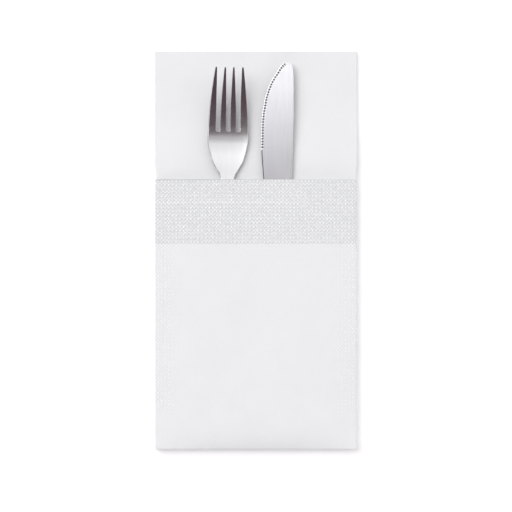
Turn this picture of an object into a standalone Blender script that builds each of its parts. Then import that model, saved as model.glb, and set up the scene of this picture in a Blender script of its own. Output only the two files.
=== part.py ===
"""A paper napkin folded into a cutlery pouch, with a table fork and a table knife in its pocket.

Metres, +Z up. The pouch lies flat, its pocket opens towards +Y, and the origin is on the
surface it lies on, under the middle of the pouch. The napkin is one sheet: its lower end is
turned up as a flap, and the doubled sheet is then folded twice, like a book, into four panels.
"""
import math

import bmesh
import bpy
import numpy as np
from mathutils import Matrix, Vector

# Folded pouch
POUCH_WIDTH = 0.1204
POUCH_HEIGHT = 0.2378
POCKET_DEPTH = 0.1610
PAPER_THICKNESS = 0.00045
LAYER_GAP = 0.0003
OUTER_CUT_SETBACK = 0.0006
INNER_CUT_SETBACK = 0.0014
SETTLE_LENGTH = 0.045
SWELL_POWER_ACROSS = 2.6
SWELL_POWER_DOWN = 24.0
FLAP_SLACK = 0.0003
REST_GAP = 0.0003

# Embossed band along the flap's free edge
BAND_HEIGHT = 0.0383
DOT_PITCH = 0.00223
DOT_HEIGHT = 0.00020

# Table fork: distances run down from the points of the tines
FORK_LENGTH = 0.200
FORK_SHOWS = 0.0675
FORK_X = -0.0170
FORK_TURN = math.radians(-0.4)
FORK_ROLL = math.radians(4.0)
FORK_THICKNESS = 0.0021
TINE_LENGTH = 0.0374
TINE_ROOT_HALF_WIDTH = 0.01190
TINES_DRAWN_IN = 0.17
LEAN_POWER = 1.5
TAPER_POWER = 1.7
TINE_FLAT_SHARE = 0.4
HEAD_HALF_WIDTH = 0.01205
HEAD_WIDEST_AT = 0.0415
SHOULDER_HALF_WIDTH = 0.0096
SHOULDER_AT = 0.0545
NECK_HALF_WIDTH = 0.0040
NECK_AT = 0.0665
HANDLE_WAIST_HALF_WIDTH = 0.0034
HANDLE_WAIST_AT = 0.088
HANDLE_MIDDLE_HALF_WIDTH = 0.0062
HANDLE_MIDDLE_AT = 0.140
HANDLE_END_HALF_WIDTH = 0.0094
HANDLE_WIDEST_AT = 0.180
FORK_END_ROUNDING = 0.0075
TINE_TIP_HALF_WIDTH = 0.00045
SLOT_HALF_WIDTH = 0.00130
SLOT_SPACING = 0.0061
SLOT_ROOT_LAND = 0.0024
TINE_LIFT = 0.0090
TINE_MIDDLE_LIFT = 0.0037
TINE_MIDDLE_AT = 0.020
NECK_LIFT = 0.0024
NECK_CREST_AT = 0.086
HANDLE_END_LIFT = 0.0014
BOWL_LOWEST_AT = 0.0440
BOWL_DISH = 0.0016
DISH_STARTS_AT = 0.012
DISH_FADE = 0.025

# Table knife: distances run down from the point of the blade
KNIFE_LENGTH = 0.210
KNIFE_SHOWS = 0.0708
KNIFE_SPINE_X = 0.0226
BLADE_LENGTH = 0.1075
BLADE_WIDTH = 0.0194
BLADE_SPINE_THICKNESS = 0.0016
CUTTING_EDGE_THICKNESS = 0.00045
POINT_BOW = 0.0004
BOLSTER_LENGTH = 0.012
BOLSTER_HALF_WIDTH = 0.0056
KNIFE_HANDLE_HALF_WIDTH = 0.0083
KNIFE_HANDLE_THICKNESS = 0.0036
KNIFE_HANDLE_SQUARENESS = 2.6
KNIFE_END_ROUNDING = 0.0060
KNIFE_END_RUN = 0.008
HANDLE_MIDDLE_SHARE = 0.45
WEDGE_POWER = 0.6
TOOTH_PITCH = 0.00168
TOOTH_RADIUS = 0.00052
TOOTH_REACH = 0.0012
TEETH_FROM = 0.0012
TEETH_TO = 0.0552

# Rounded edges, as shares of the wall or of the half width
STAMPED_EDGE_SHARE = 0.5
TINE_POINT_SHARE = 0.35
HANDLE_RIM_SHARE = 0.28
KNIFE_END_THINNING = 0.45
END_CORNER_SHARE = 0.12

# Heights of the stack: a layer is one thickness of paper and the air under the next
LAYER_PITCH = PAPER_THICKNESS + LAYER_GAP
POCKET_FLOOR = 6 * LAYER_PITCH + PAPER_THICKNESS
HEAD_TOP = 3 * LAYER_PITCH + PAPER_THICKNESS
FLAP_UNDERSIDE = 7 * LAYER_PITCH
BOTTOM_Y = -POUCH_HEIGHT / 2
MOUTH_Y = BOTTOM_Y + POCKET_DEPTH
LEFT_FOLD_X = -POUCH_WIDTH / 2 + 3.5 * LAYER_PITCH + PAPER_THICKNESS / 2
RIGHT_FOLD_X = POUCH_WIDTH / 2 - 1.5 * LAYER_PITCH - PAPER_THICKNESS / 2
DOTS_ACROSS = round((RIGHT_FOLD_X - LEFT_FOLD_X) / DOT_PITCH)
DOTS_DOWN = round(BAND_HEIGHT / DOT_PITCH)



def clear_scene():
    """Removes every object that is in the file."""
    for item in list(bpy.data.objects):
        bpy.data.objects.remove(item, do_unlink=True)


def new_collection(name):
    """Makes a collection and links it to the scene."""
    made = bpy.data.collections.new(name)
    bpy.context.scene.collection.children.link(made)
    return made


def paper_material():
    """White unglazed tissue."""
    made = bpy.data.materials.new("white_paper")
    made.use_nodes = True
    shader = made.node_tree.nodes["Principled BSDF"]
    shader.inputs["Base Color"].default_value = (0.86, 0.86, 0.87, 1.0)
    shader.inputs["Roughness"].default_value = 0.9
    shader.inputs["Metallic"].default_value = 0.0
    return made


def steel_material(name, roughness):
    """Stainless steel, brushed along its length."""
    made = bpy.data.materials.new(name)
    made.use_nodes = True
    shader = made.node_tree.nodes["Principled BSDF"]
    shader.inputs["Base Color"].default_value = (0.72, 0.71, 0.70, 1.0)
    shader.inputs["Roughness"].default_value = roughness
    shader.inputs["Metallic"].default_value = 1.0
    return made


def ease(share):
    """Turns a share from 0 to 1 into one that starts and ends level."""
    share = np.clip(share, 0, 1)
    return share * share * (3 - 2 * share)


def smooth_through(at, places, values):
    """Reads a smooth curve through points, with cubic steps that never overshoot them."""
    places = np.asarray(places, dtype=float)
    values = np.asarray(values, dtype=float)
    step = np.diff(places)
    rate = np.diff(values) / step
    slope = np.concatenate((rate[:1], np.zeros(len(rate) - 1), rate[-1:]))
    before, after = rate[:-1], rate[1:]
    same_way = before * after > 0
    both = np.where(same_way, before + after, 1.0)
    slope[1:-1] = np.where(same_way, 2 * before * after / both, 0.0)
    cell = np.clip(np.searchsorted(places, at) - 1, 0, len(step) - 1)
    share = np.clip((at - places[cell]) / step[cell], 0, 1)
    rest = 1 - share
    from_start = values[cell] * (1 + 2 * share) * rest**2
    from_end = values[cell + 1] * (3 - 2 * share) * share**2
    bend = slope[cell] * rest - slope[cell + 1] * share
    return from_start + from_end + step[cell] * share * rest * bend


def skin(name, places, thickness, weights=None, keep=None, dotted=None):
    """Makes a closed plate from a grid of mid-surface points by giving it a wall.

    places is columns by rows by 3, weights is the share of the thickness at each point, keep
    says which cells stay, and dotted says which are raised to a dot in their middle. The wall
    is half above the grid and half below.
    """
    columns, rows = places.shape[0] - 1, places.shape[1] - 1
    shape = bmesh.new()
    bmesh.ops.create_grid(shape, x_segments=columns, y_segments=rows, size=1.0)
    share = shape.verts.layers.deform.verify()
    cell = {}
    for point in shape.verts:
        column = round((point.co.x + 1) / 2 * columns)
        row = round((point.co.y + 1) / 2 * rows)
        cell[point] = (column, row)
        if weights is not None:
            point[share][0] = float(weights[column, row])
    spare = []
    raised = []
    for face in shape.faces:
        column = min(cell[corner][0] for corner in face.verts)
        row = min(cell[corner][1] for corner in face.verts)
        if keep is not None and not keep[column, row]:
            spare.append(face)
        elif dotted is not None and dotted[column, row]:
            raised.append(face)
    for point, (column, row) in cell.items():
        point.co = places[column, row]
    bmesh.ops.delete(shape, geom=spare, context="FACES")
    for dot in bmesh.ops.poke(shape, faces=raised)["verts"]:
        dot.co.z += DOT_HEIGHT
    mesh = bpy.data.meshes.new(name)
    shape.to_mesh(mesh)
    shape.free()
    made = bpy.data.objects.new(name, mesh)
    wall = made.modifiers.new("wall", "SOLIDIFY")
    wall.thickness = thickness
    wall.offset = 0.0
    wall.use_even_offset = True
    wall.use_rim = True
    if weights is not None:
        wall.vertex_group = made.vertex_groups.new(name="wall_share").name
        wall.thickness_vertex_group = 0.0
    return made


def finish_object(made, collection, material):
    """Links a piece, gives it its material and shades it smooth with crisp edges."""
    collection.objects.link(made)
    made.data.materials.append(material)
    made.data.shade_smooth()
    return made


def half_turn(cells):
    """Angles of a half circle, from its first end to its last, in equal steps."""
    return np.linspace(-math.pi / 2, math.pi / 2, cells + 1)


def napkin_columns():
    """Follows the sheet across its four panels, and round the three folds between them.

    Returns for each column its x, its layer number in the pocket and in the head, and the
    direction towards the flap's side. Layer 0 lies on the surface. The order is bottom panel,
    left fold, front panel, right fold, second panel, inner left fold, third panel.
    """
    outer_cut = POUCH_WIDTH / 2 - OUTER_CUT_SETBACK
    inner_cut = POUCH_WIDTH / 2 - INNER_CUT_SETBACK
    pieces = []

    def run(start, end, cells, pocket_layer, head_layer, side):
        """Goes straight across a panel; side is 1 where the flap's side is up."""
        across = np.linspace(start, end, cells + 1)
        same = np.ones_like(across)
        pieces.append((across, same * pocket_layer, same * head_layer, same * 0, same * side))

    def fold(centre, angles, pocket, head, reach, outward):
        """pocket and head are the middle layer and the layers from there to the sheet."""
        out = np.cos(angles)
        up = np.sin(angles)
        pieces.append((
            centre + reach * LAYER_PITCH * out,
            pocket[0] + pocket[1] * up,
            head[0] + head[1] * up,
            out * outward * np.sign(reach),
            up * outward,
        ))

    run(outer_cut, LEFT_FOLD_X, 2, 1, 0, -1)
    fold(LEFT_FOLD_X, half_turn(6), (3.5, 2.5), (1.5, 1.5), -2.5, 1)
    run(LEFT_FOLD_X, RIGHT_FOLD_X, DOTS_ACROSS, 6, 3, 1)
    fold(RIGHT_FOLD_X, -half_turn(4), (5.5, 0.5), (2.5, 0.5), 0.5, 1)
    run(RIGHT_FOLD_X, LEFT_FOLD_X, 2, 5, 2, -1)
    fold(LEFT_FOLD_X, -half_turn(5), (3.5, 1.5), (1.5, 0.5), -1.5, -1)
    run(LEFT_FOLD_X, inner_cut, 2, 2, 1, 1)
    parts = [pieces[0]] + [tuple(row[1:] for row in piece) for piece in pieces[1:]]
    return [np.concatenate(rows) for rows in zip(*parts)]


def napkin_rows():
    """Follows the sheet from the flap's edge down, round the bottom fold, and up to the head.

    Returns for each row its y and how far it stands off towards the flap's side, in layers.
    """
    fold_y = BOTTOM_Y + LAYER_PITCH / 2 + PAPER_THICKNESS / 2
    band_y = MOUTH_Y - BAND_HEIGHT
    band = np.linspace(MOUTH_Y, band_y, DOTS_DOWN + 1)
    below = band_y + (fold_y - band_y) * np.sin(np.linspace(0, math.pi / 2, 9)[1:])
    flap = np.concatenate((band, below))
    angles = half_turn(4)[1:-1]
    turn = fold_y - LAYER_PITCH / 2 * np.cos(angles)
    sheet = np.concatenate((
        np.linspace(fold_y, MOUTH_Y, 3),
        MOUTH_Y + SETTLE_LENGTH * np.linspace(0, 1, 9)[1:],
        np.linspace(MOUTH_Y + SETTLE_LENGTH, POUCH_HEIGHT / 2, 2)[1:],
    ))
    rows_y = np.concatenate((flap, turn, sheet))
    off = np.concatenate((np.ones_like(flap), 0.5 - 0.5 * np.sin(angles), np.zeros_like(sheet)))
    return rows_y, off


def swell(across, along):
    """Height that the flap rises over the cutlery: level in the middle, nothing at the folds."""
    middle = (LEFT_FOLD_X + RIGHT_FOLD_X) / 2
    side = np.clip(np.abs(across - middle) / (RIGHT_FOLD_X - middle), 0, 1)
    down = np.clip((MOUTH_Y - along) / POCKET_DEPTH, 0, 1)
    return SWELL_HEIGHT * (1 - side**SWELL_POWER_ACROSS) * (1 - down**SWELL_POWER_DOWN)


def build_napkin(collection):
    """Folds the sheet: eight layers thick at the pocket, four at the head, all one solid."""
    across, pocket_layer, head_layer, side_x, side_z = napkin_columns()
    rows_y, off = napkin_rows()
    settled = ease((rows_y - MOUTH_Y) / SETTLE_LENGTH) * (off == 0)
    layer = pocket_layer[:, None] * (1 - settled) + head_layer[:, None] * settled
    x = across[:, None] + side_x[:, None] * off * LAYER_PITCH
    z = (layer + side_z[:, None] * off) * LAYER_PITCH + PAPER_THICKNESS / 2
    y = np.broadcast_to(rows_y, x.shape)
    front_columns = pocket_layer == 6
    front = front_columns[:, None] & (off > 0.99)
    z = z + np.where(front, swell(x, y), 0.0)
    front_cells = front_columns[:-1] & front_columns[1:]
    dotted = front_cells[:, None] & (np.arange(len(rows_y) - 1) < DOTS_DOWN)
    made = skin("napkin", np.stack((x, y, z), axis=2), PAPER_THICKNESS, dotted=dotted)
    return finish_object(made, collection, paper_material())


def fork_half_width(down):
    """Half of the fork's width, from the roots of the tines to the end of the handle."""
    return smooth_through(
        down,
        (TINE_LENGTH, HEAD_WIDEST_AT, SHOULDER_AT, NECK_AT,
         HANDLE_WAIST_AT, HANDLE_MIDDLE_AT, HANDLE_WIDEST_AT, FORK_LENGTH),
        (TINE_ROOT_HALF_WIDTH, HEAD_HALF_WIDTH, SHOULDER_HALF_WIDTH, NECK_HALF_WIDTH,
         HANDLE_WAIST_HALF_WIDTH, HANDLE_MIDDLE_HALF_WIDTH,
         HANDLE_END_HALF_WIDTH, HANDLE_END_HALF_WIDTH),
    )


def fork_rise(down):
    """Rise over the bottom of the bowl: raised points, low bowl, arched neck, level handle."""
    return smooth_through(
        down,
        (0.0, TINE_MIDDLE_AT, BOWL_LOWEST_AT, NECK_CREST_AT, FORK_LENGTH),
        (TINE_LIFT, TINE_MIDDLE_LIFT, 0.0, NECK_LIFT, HANDLE_END_LIFT),
    )


def fork_dish(down):
    """How far the head's sides stand over its middle, at a distance from the points."""
    return BOWL_DISH * ease((down - DISH_STARTS_AT) / DISH_FADE) * ease((NECK_AT - down) / DISH_FADE)


def lay_fork():
    """Lowers the fork until it clears the paper at one place.

    The paper falls from the pocket's floor to the head's top beyond the mouth. The fork's low
    side is below its middle line by the roll, less the dish. Returns the height of the bottom
    of the bowl, and the top of the fork's part in the pocket.
    """
    down = np.linspace(0, FORK_LENGTH, 800)
    settled = ease((FORK_SHOWS - down) / SETTLE_LENGTH)
    paper = POCKET_FLOOR - (POCKET_FLOOR - HEAD_TOP) * settled
    leaning = fork_half_width(np.maximum(down, TINE_LENGTH)) * math.sin(FORK_ROLL)
    dish = np.maximum(fork_dish(down), leaning / 1000)
    lowest = np.clip(leaning / (2 * dish), 0, 1)
    below = FORK_THICKNESS / 2 + leaning * lowest - dish * lowest**2
    bowl = np.max(paper + REST_GAP + below - fork_rise(down))
    above = (fork_rise(down) + FORK_THICKNESS / 2 + leaning)[down > FORK_SHOWS]
    return bowl, bowl + np.max(above)


# Heights of the cutlery, which the flap clears
FORK_BOWL_Z, FORK_TOP = lay_fork()
KNIFE_Z = POCKET_FLOOR + REST_GAP + KNIFE_HANDLE_THICKNESS / 2
KNIFE_TOP = KNIFE_Z + KNIFE_HANDLE_THICKNESS / 2
SWELL_HEIGHT = max(FORK_TOP, KNIFE_TOP) + REST_GAP + FLAP_SLACK - FLAP_UNDERSIDE


def fork_lines(down):
    """Places the lines of the head: three cells over each tine, four over each slot.

    down is the distance from the points. Returns offsets from the fork's middle line. A tine
    narrows to its point and leans towards the middle, and a slot is what lies between two.
    """
    share = np.clip((TINE_LENGTH - down) / TINE_LENGTH, 0, 1)
    drawn_in = 1 - TINES_DRAWN_IN * share**LEAN_POWER
    inner_tine = (SLOT_HALF_WIDTH, SLOT_SPACING - SLOT_HALF_WIDTH)
    outer_tine = (SLOT_SPACING + SLOT_HALF_WIDTH, TINE_ROOT_HALF_WIDTH)
    lines = []
    for start, end in (inner_tine, outer_tine):
        middle = (start + end) / 2 * drawn_in
        half = (end - start) / 2
        half = half + (TINE_TIP_HALF_WIDTH - half) * share**TAPER_POWER
        flat = half * TINE_FLAT_SHARE
        lines.append((middle - half, middle - flat, middle + flat, middle + half))
    inner, outer = lines
    steps = np.sin(half_turn(4))[1:-1]
    gap = [(inner[3] + outer[0]) / 2 + (outer[0] - inner[3]) / 2 * step for step in steps]
    right = list(inner) + gap + list(outer)
    centre = [inner[0] * step for step in steps]
    return np.array([-line for line in right[::-1]] + centre + right)


# Lines of the head at each side of a slot, and the rows of cells over the tines
SLOT_SIDES = ((3, 7), (10, 14), (17, 21))
TINE_ROWS = 9


def fork_grid():
    """Lays out the flat fork: offsets from its middle line, and distances from its points.

    The roots of the slots are half circles, and so is the end of the handle, but for a little
    that stays straight at its corners.
    """
    body = np.concatenate((
        np.linspace(TINE_LENGTH + SLOT_ROOT_LAND, NECK_AT, 10),
        np.linspace(NECK_AT, FORK_LENGTH - FORK_END_ROUNDING, 13)[1:],
        FORK_LENGTH - FORK_END_ROUNDING * (1 - np.sin(np.linspace(0, math.pi / 2, 5)[1:])),
    ))
    down = np.concatenate((np.linspace(0, TINE_LENGTH, TINE_ROWS + 1), body))
    root = fork_lines(TINE_LENGTH)
    share_across = root / root[-1]
    tines = np.array([fork_lines(distance) for distance in down[: TINE_ROWS + 1]]).T
    offsets = np.concatenate((tines, share_across[:, None] * fork_half_width(body)), axis=1)
    along = np.broadcast_to(down, offsets.shape).copy()
    for first, last in SLOT_SIDES:
        inside = slice(first + 1, last)
        aside = (root[inside] - (root[first] + root[last]) / 2) / SLOT_HALF_WIDTH
        along[inside, TINE_ROWS] += SLOT_HALF_WIDTH * np.sqrt(1 - aside**2)
    round_from = FORK_LENGTH - FORK_END_ROUNDING
    bow = END_CORNER_SHARE + (1 - END_CORNER_SHARE) * np.sqrt(1 - share_across**2)
    late = along > round_from
    along = np.where(late, round_from + (along - round_from) * bow[:, None], along)
    return down, offsets, along


def fork_walls(offsets):
    """Shares of the full thickness: less along the stamped edges, least at the points."""
    walls = np.ones_like(offsets)
    walls[[0, -1], :] = STAMPED_EDGE_SHARE
    walls[:, -1] = STAMPED_EDGE_SHARE
    for first, last in SLOT_SIDES:
        walls[[first, last], : TINE_ROWS + 1] = STAMPED_EDGE_SHARE
        walls[first + 1: last, TINE_ROWS] = STAMPED_EDGE_SHARE
    walls[:, 0] = TINE_POINT_SHARE
    return walls


def build_fork(collection):
    """Stamps the fork's outline, bends it to its side view, dishes its head and lays it down."""
    down, offsets, along = fork_grid()
    width = np.where(down < TINE_LENGTH, TINE_ROOT_HALF_WIDTH, offsets[-1])
    rise = fork_rise(along) + fork_dish(down) * (offsets / width) ** 2
    rolled_x = offsets * math.cos(FORK_ROLL) + rise * math.sin(FORK_ROLL)
    rolled_z = FORK_BOWL_Z + rise - offsets * math.sin(FORK_ROLL)
    ahead = FORK_SHOWS - along
    x = FORK_X + rolled_x * math.cos(FORK_TURN) - ahead * math.sin(FORK_TURN)
    y = MOUTH_Y + rolled_x * math.sin(FORK_TURN) + ahead * math.cos(FORK_TURN)
    keep = np.ones((offsets.shape[0] - 1, offsets.shape[1] - 1), dtype=bool)
    for first, last in SLOT_SIDES:
        keep[first:last, :TINE_ROWS] = False
    places = np.stack((x, y, rolled_z), axis=2)[::-1]
    made = skin("fork", places, FORK_THICKNESS, fork_walls(offsets)[::-1], keep[::-1])
    return finish_object(made, collection, steel_material("fork_steel", 0.3))


# Blade outline from its point down: cutting edge (along, across) and spine (along, across),
# as shares of the blade's length and, from the spine, of its width
BLADE_OUTLINE = (
    (0.0037, 0.258, 0.003, 0.144),
    (0.0214, 0.371, 0.0233, 0.052),
    (0.0567, 0.526, 0.0474, 0.021),
    (0.129, 0.753, 0.092, 0.005),
    (0.222, 0.907, 0.167, 0.000),
    (0.343, 0.990, 0.287, 0.002),
    (0.464, 1.000, 0.427, 0.015),
    (0.660, 0.935, 0.660, 0.036),
    (1.000, 0.794, 1.000, 0.103),
)


def knife_outline():
    """Lists the knife's stations: cutting side and spine side, as (down, across) in metres."""
    blade = np.array(BLADE_OUTLINE) * (BLADE_LENGTH, BLADE_WIDTH, BLADE_LENGTH, BLADE_WIDTH)
    middle = HANDLE_MIDDLE_SHARE * BLADE_WIDTH
    bolster_end = BLADE_LENGTH + BOLSTER_LENGTH
    widest_from = KNIFE_LENGTH - KNIFE_END_ROUNDING - KNIFE_END_RUN
    handle = []
    for down, half in (
        (bolster_end, BOLSTER_HALF_WIDTH),
        ((bolster_end + widest_from) / 2, (BOLSTER_HALF_WIDTH + KNIFE_HANDLE_HALF_WIDTH) / 2),
        (widest_from, KNIFE_HANDLE_HALF_WIDTH),
        (KNIFE_LENGTH - KNIFE_END_ROUNDING, KNIFE_HANDLE_HALF_WIDTH),
    ):
        handle.append((down, middle + half, down, middle - half))
    return np.concatenate((blade, handle))


def knife_stations(rows):
    """Reads the outline at the given rows: its four columns, smoothly from point to end."""
    stations = knife_outline()
    index = np.arange(len(stations))
    inside = np.minimum(rows, index[-1])
    return [smooth_through(inside, index, stations[:, side]) for side in range(4)]


# Columns of the knife's grid, from its cutting side to its spine, closer near the edges
SHARES_ACROSS = (0.0, 0.07, 0.2, 0.38, 0.5, 0.62, 0.8, 0.93, 1.0)

# The row where the blade ends, and the row where the handle's end starts to round
HEEL_ROW = len(BLADE_OUTLINE) - 1
ROUNDING_ROW = HEEL_ROW + 4


def knife_walls(rows, share):
    """Thickness at each point: a wedge along the blade, a rounded bar along the handle."""
    spine_more = BLADE_SPINE_THICKNESS - CUTTING_EDGE_THICKNESS
    blade = CUTTING_EDGE_THICKNESS + spine_more * share**WEDGE_POWER
    power = KNIFE_HANDLE_SQUARENESS
    crown = (1 - np.abs(2 * share - 1) ** power) ** (1 / power)
    handle = KNIFE_HANDLE_THICKNESS * (HANDLE_RIM_SHARE + (1 - HANDLE_RIM_SHARE) * crown)
    forged = ease(rows - HEEL_ROW)
    thinned = 1 - KNIFE_END_THINNING * np.clip(rows - ROUNDING_ROW, 0, 1) ** 3
    return (blade * (1 - forged) + handle * forged) * thinned


def build_knife(collection, cutters):
    """Forges blade, bolster and handle in one, then grinds the teeth into the cutting edge."""
    rows = np.concatenate((
        np.linspace(0, 3, 8),
        np.linspace(3, HEEL_ROW, 12)[1:],
        np.linspace(HEEL_ROW, HEEL_ROW + 1, 6)[1:],
        np.linspace(HEEL_ROW + 1, ROUNDING_ROW, 8)[1:],
        ROUNDING_ROW + np.sin(np.linspace(0, math.pi / 2, 6))[1:],
    ))
    share = np.array(SHARES_ACROSS)[:, None]
    edge_down, edge_across, spine_down, spine_across = knife_stations(rows)
    down = edge_down + (spine_down - edge_down) * share
    across = edge_across + (spine_across - edge_across) * share
    bowed = 4 * share * (1 - share)
    down = down - POINT_BOW * np.clip(1 - rows, 0, 1) * bowed
    bow = END_CORNER_SHARE + (1 - END_CORNER_SHARE) * np.sqrt(bowed)
    down = down + KNIFE_END_ROUNDING * np.clip(rows - ROUNDING_ROW, 0, 1) * bow
    x = KNIFE_SPINE_X - across
    y = MOUTH_Y + KNIFE_SHOWS - down
    places = np.stack((x, y, np.full_like(x, KNIFE_Z)), axis=2)[:, ::-1]
    wall_shares = knife_walls(rows, share)[:, ::-1] / KNIFE_HANDLE_THICKNESS
    made = skin("knife", places, KNIFE_HANDLE_THICKNESS, wall_shares)
    finish_object(made, collection, steel_material("knife_steel", 0.3))
    cut = made.modifiers.new("teeth", "BOOLEAN")
    cut.operation = "DIFFERENCE"
    cut.solver = "EXACT"
    cut.object = build_teeth_cutter(cutters)
    return made


def build_teeth_cutter(cutters):
    """Rows of small round grinders, each tilted so that its groove runs out at the edge."""
    down, across, *_ = knife_stations(np.linspace(0, HEEL_ROW, 2000))
    edge_x = KNIFE_SPINE_X - across
    edge_y = MOUTH_Y + KNIFE_SHOWS - down
    gone = np.concatenate(([0.0], np.cumsum(np.hypot(np.diff(edge_x), np.diff(edge_y)))))
    shape = bmesh.new()
    for distance in np.arange(TEETH_FROM, TEETH_TO, TOOTH_PITCH):
        ends = (distance, distance + TOOTH_PITCH)
        xs = np.interp(ends, gone, edge_x)
        ys = np.interp(ends, gone, edge_y)
        inward = Vector((ys[0] - ys[1], xs[1] - xs[0], 0)).normalized()
        add_grinder(shape, Vector((xs[0], ys[0], KNIFE_Z)), inward)
    mesh = bpy.data.meshes.new("teeth_cutter")
    shape.to_mesh(mesh)
    shape.free()
    made = bpy.data.objects.new("teeth_cutter", mesh)
    made.hide_render = True
    made.display_type = "WIRE"
    cutters.objects.link(made)
    return made


def add_grinder(shape, edge, inward):
    """Adds one grinder across the cutting edge, tilted down from the blade's face."""
    up = Vector((0, 0, 1))
    face = CUTTING_EDGE_THICKNESS / 2
    through = CUTTING_EDGE_THICKNESS * 1.6
    start = edge - inward * TOOTH_REACH / 2 + up * (face + TOOTH_RADIUS - through)
    end = edge + inward * TOOTH_REACH + up * (face + TOOTH_RADIUS * 1.2)
    axis = end - start
    turn = axis.to_track_quat("Z", "Y").to_matrix().to_4x4()
    bmesh.ops.create_cone(
        shape, cap_ends=True, segments=8, radius1=TOOTH_RADIUS, radius2=TOOTH_RADIUS,
        depth=axis.length, matrix=Matrix.Translation((start + end) / 2) @ turn,
    )


def main():
    """Builds the napkin and the cutlery that it holds."""
    clear_scene()
    pouch = new_collection("cutlery_pouch_napkin")
    cutters = new_collection("cutters")
    build_napkin(pouch)
    build_fork(pouch)
    build_knife(pouch, cutters)


main()
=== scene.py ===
"""Looks of a paper cutlery pouch with a fork and a knife, dressed over its fixed frame.

Metres, +Z up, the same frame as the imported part. Every piece is a surface of two parameters that
numpy works out as whole arrays: the napkin is one sheet carried along a path of folds, and the
cutlery is a middle surface with a wall whose thickness falls off round its edges.
"""
from __future__ import annotations

import logging
import math
from dataclasses import dataclass, field
from enum import Enum
from functools import reduce

import bpy
import numpy as np
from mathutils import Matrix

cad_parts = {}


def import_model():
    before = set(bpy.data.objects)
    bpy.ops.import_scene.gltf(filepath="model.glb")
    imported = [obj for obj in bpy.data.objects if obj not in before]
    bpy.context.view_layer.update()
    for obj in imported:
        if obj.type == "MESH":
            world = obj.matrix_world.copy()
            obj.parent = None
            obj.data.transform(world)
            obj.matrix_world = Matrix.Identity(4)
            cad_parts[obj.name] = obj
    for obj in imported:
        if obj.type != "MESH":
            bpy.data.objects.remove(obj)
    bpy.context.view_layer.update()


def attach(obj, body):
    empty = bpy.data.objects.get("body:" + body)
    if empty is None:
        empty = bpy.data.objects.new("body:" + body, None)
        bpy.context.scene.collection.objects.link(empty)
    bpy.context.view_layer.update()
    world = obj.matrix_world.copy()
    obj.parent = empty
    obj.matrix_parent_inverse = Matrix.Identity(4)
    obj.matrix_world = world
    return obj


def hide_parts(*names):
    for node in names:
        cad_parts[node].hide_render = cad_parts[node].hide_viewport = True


LOG = logging.getLogger("pouch")
MM = 0.001
GROOVE_AND_REFLECTION = "groove_and_reflection"


class Space(Enum):
    """Coordinates that the patterns of a node tree follow."""

    OBJECT = "Object"
    DIRECTION = "Generated"


@dataclass(frozen=True)
class Patches:
    """Noise whose values from low to high are eased onto the range from least to most."""

    scale: float
    detail: float
    low: float
    high: float
    least: float
    most: float


def ease(share: np.ndarray) -> np.ndarray:
    """Turns a share into one with level ends: 3 s^2 - 2 s^3, held between 0 and 1.

    Args:
        share: Any numbers; those below 0 or above 1 are held at the ends.

    Returns:
        The eased shares.
    """
    share = np.clip(share, 0.0, 1.0)
    return share * share * (3.0 - 2.0 * share)


def smooth_through(at: np.ndarray, places: tuple, values: tuple) -> np.ndarray:
    """Reads a smooth curve through points that never overshoots them.

    Each span is a cubic Hermite step whose end slopes are the harmonic mean of the rates of the
    spans beside it, or 0 where these have different signs.

    Args:
        at: Where the curve is read.
        places: The places of its points, rising.
        values: The values at these places.

    Returns:
        The value at each place read.
    """
    xs = np.asarray(places, dtype=float)
    ys = np.asarray(values, dtype=float)
    step = np.diff(xs)
    rate = np.diff(ys) / step
    slope = np.concatenate((rate[:1], np.zeros(len(rate) - 1), rate[-1:]))
    before, after = rate[:-1], rate[1:]
    same_way = before * after > 0
    both = np.where(same_way, before + after, 1.0)
    slope[1:-1] = np.where(same_way, 2 * before * after / both, 0.0)
    cell = np.clip(np.searchsorted(xs, at) - 1, 0, len(step) - 1)
    share = np.clip((at - xs[cell]) / step[cell], 0, 1)
    rest = 1 - share
    from_start = ys[cell] * (1 + 2 * share) * rest**2
    from_end = ys[cell + 1] * (3 - 2 * share) * share**2
    bend = slope[cell] * rest - slope[cell + 1] * share
    return from_start + from_end + step[cell] * share * rest * bend


def rounded(share: np.ndarray) -> np.ndarray:
    """Height of a quarter circle at a share of its reach: sqrt(s (2 - s))."""
    share = np.clip(share, 0, 1)
    return np.sqrt(share * (2 - share))


def half_turn(cells: int) -> np.ndarray:
    """Angles of a half circle from its first end to its last, in equal steps."""
    return np.linspace(-math.pi / 2, math.pi / 2, cells + 1)


def normals_of(middle: np.ndarray) -> np.ndarray:
    """Unit normals of a grid of points: the cross product of its two differences.

    Args:
        middle: Columns by rows by 3.

    Returns:
        The normals, in the same shape.
    """
    normal = np.cross(np.gradient(middle, axis=0), np.gradient(middle, axis=1))
    return normal / np.maximum(np.linalg.norm(normal, axis=2, keepdims=True), 1e-12)


def placed(name: str, data: bpy.types.ID) -> bpy.types.Object:
    """Makes an object at the origin and links it to the scene."""
    made = bpy.data.objects.new(name, data)
    bpy.context.scene.collection.objects.link(made)
    return made


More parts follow.
